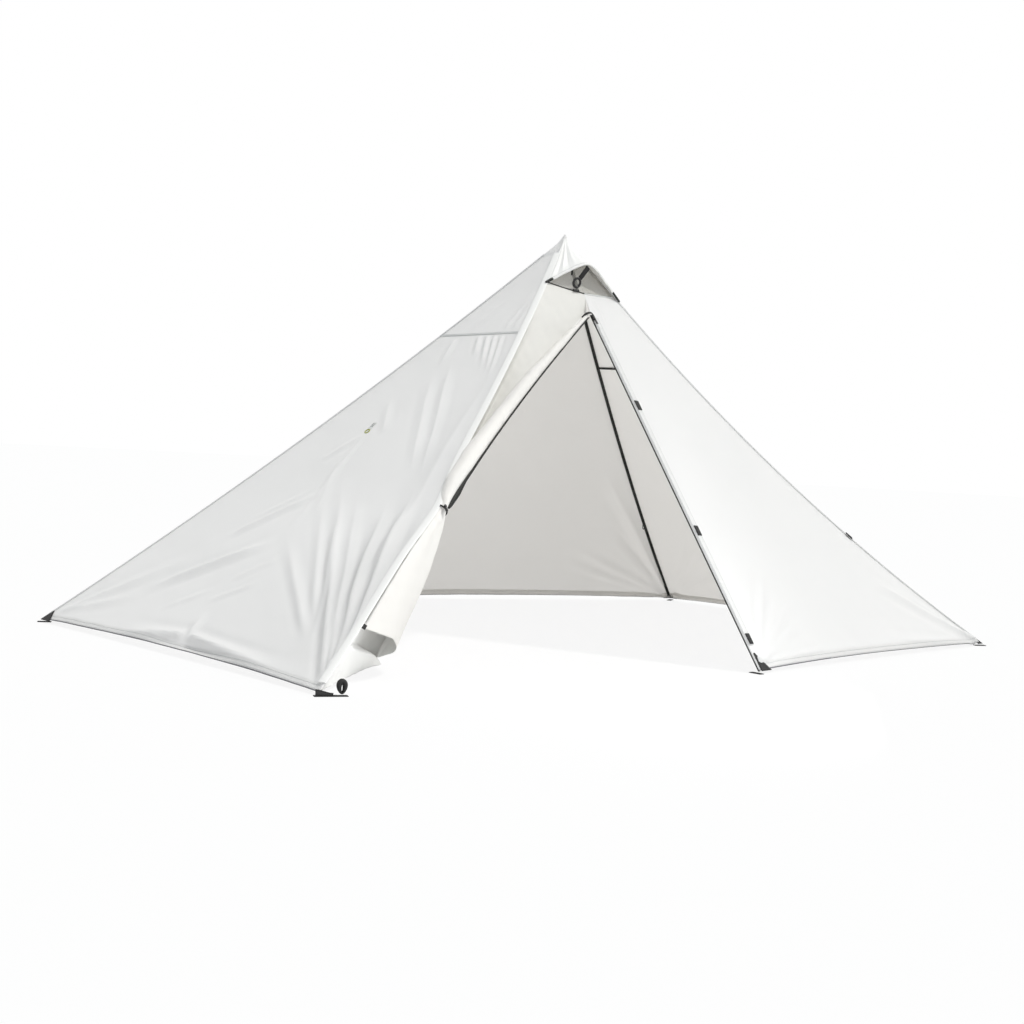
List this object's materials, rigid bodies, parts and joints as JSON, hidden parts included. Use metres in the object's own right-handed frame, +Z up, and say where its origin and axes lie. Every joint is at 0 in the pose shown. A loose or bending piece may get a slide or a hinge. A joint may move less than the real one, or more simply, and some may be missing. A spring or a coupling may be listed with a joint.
{
  "type": "backpacking tent",
  "caption": "Pyramid backpacking tent with a zipped front, one door half drawn back and tied, and a propped vent hood at the peak.",
  "frame": {"origin": "middle of the footprint's box on the ground", "axes": "+Z up, the zipped front faces -Y, +X to the right seen from the front"},
  "size_m": [3.0236, 2.196, 1.3855],
  "materials": {
    "cloth_outer": "matte translucent coated cloth, cool white",
    "cloth_bright": "matte translucent coated cloth, white",
    "cloth_inner": "matte cloth seen from inside, warm grey white",
    "tape_grey": "matte grey binding tape",
    "seam_light": "matte felled seam",
    "webbing_black": "matte woven webbing",
    "plastic_black": "satin moulded plastic",
    "net_grey": "fine netting",
    "cord_green": "braided cord"
  },
  "bodies": {
    "shelter": {"panel_left": "cloth_outer", "panel_right": "cloth_bright", "panel_back_right": "cloth_inner", "panel_back_left": "cloth_inner", "panel_front_right": "cloth_bright", "door_head": "cloth_bright", "door_flap": "cloth_bright", "peak_cap": "cloth_bright", "zip_edge_left": "tape_grey", "ridge_seam_front_left": "seam_light", "ridge_seam_front_right": "tape_grey", "ridge_seam_back_right": "tape_grey", "ridge_seam_back_centre": "tape_grey", "ridge_seam_back_left": "tape_grey", "hem_left": "tape_grey", "hem_front_right": "tape_grey", "hem_right": "tape_grey", "hem_back_right": "tape_grey", "hem_back_left": "tape_grey", "corner_patch_front_left": "webbing_black", "corner_patch_front_centre": "webbing_black", "corner_patch_front_right": "webbing_black", "corner_patch_back_right": "webbing_black", "corner_patch_back_centre": "webbing_black", "corner_patch_back_left": "webbing_black", "stake_tab_front_left": "webbing_black", "stake_tab_front_centre": "webbing_black", "stake_tab_front_right": "webbing_black", "stake_tab_back_right": "webbing_black", "stake_tab_back_centre": "webbing_black", "stake_tab_back_left": "webbing_black", "zip_edge": "tape_grey", "storm_strip": "cloth_bright", "closure_tab_upper": "webbing_black", "closure_tab_middle": "webbing_black", "closure_tab_lower": "webbing_black", "vent_hood": "cloth_bright", "vent_brim": "tape_grey", "vent_net_left": "net_grey", "vent_net_right": "net_grey", "guy_tab_left": "webbing_black", "guy_tab_right": "webbing_black", "tie_cord": "webbing_black"},
    "zip_slider": {"zip_slider": "plastic_black"},
    "zip_pull": {"zip_pull": "plastic_black"},
    "vent_prop": {"vent_prop": "webbing_black", "vent_prop_ring": "plastic_black"},
    "stake_loop": {"stake_loop": "webbing_black"},
    "guy_loop": {"guy_loop_left": "cord_green"},
    "tie_toggle": {"tie_toggle": "plastic_black"},
    "inner_loop": {"inner_loop": "webbing_black"}
  },
  "joints": [
    {"name": "zip_slide", "type": "slide", "parent": "shelter", "child": "zip_slider", "axis": [0.0333, -0.5787, -0.8149], "range_m": [0, 1.28]},
    {"name": "zip_pull_swing", "type": "hinge", "parent": "zip_slider", "child": "zip_pull", "pos_m": [-0.04357, -0.31853, 1.10569], "axis": [-0.9876, -0.1442, 0.062], "range_deg": [0, 120]},
    {"name": "vent_prop_swing", "type": "hinge", "parent": "shelter", "child": "vent_prop", "pos_m": [-0.01703, -0.26069, 1.28172], "axis": [-0.8343, -0.1175, 0.5386], "range_deg": [0, 80]},
    {"name": "stake_loop_tilt", "type": "hinge", "parent": "shelter", "child": "stake_loop", "pos_m": [-1.44019, -0.93277, 0.0025], "axis": [0.3558, 0.9346, 0], "range_deg": [-30, 45]},
    {"name": "guy_loop_swing", "type": "hinge", "parent": "shelter", "child": "guy_loop", "pos_m": [-0.71979, -0.002, 0.6834], "axis": [-0.0388, 0.9992, -0.0131], "range_deg": [0, 90]},
    {"name": "tie_toggle_swing", "type": "hinge", "parent": "shelter", "child": "tie_toggle", "pos_m": [-0.91084, -0.6552, 0.47072], "axis": [-0.0968, -0.8064, 0.5834], "range_deg": [-25, 25]},
    {"name": "inner_loop_swing", "type": "hinge", "parent": "shelter", "child": "inner_loop", "pos_m": [1.05451, 0.45241, 0.35595], "axis": [0.7068, 0.377, -0.5986], "range_deg": [-35, 25]}
  ]
}
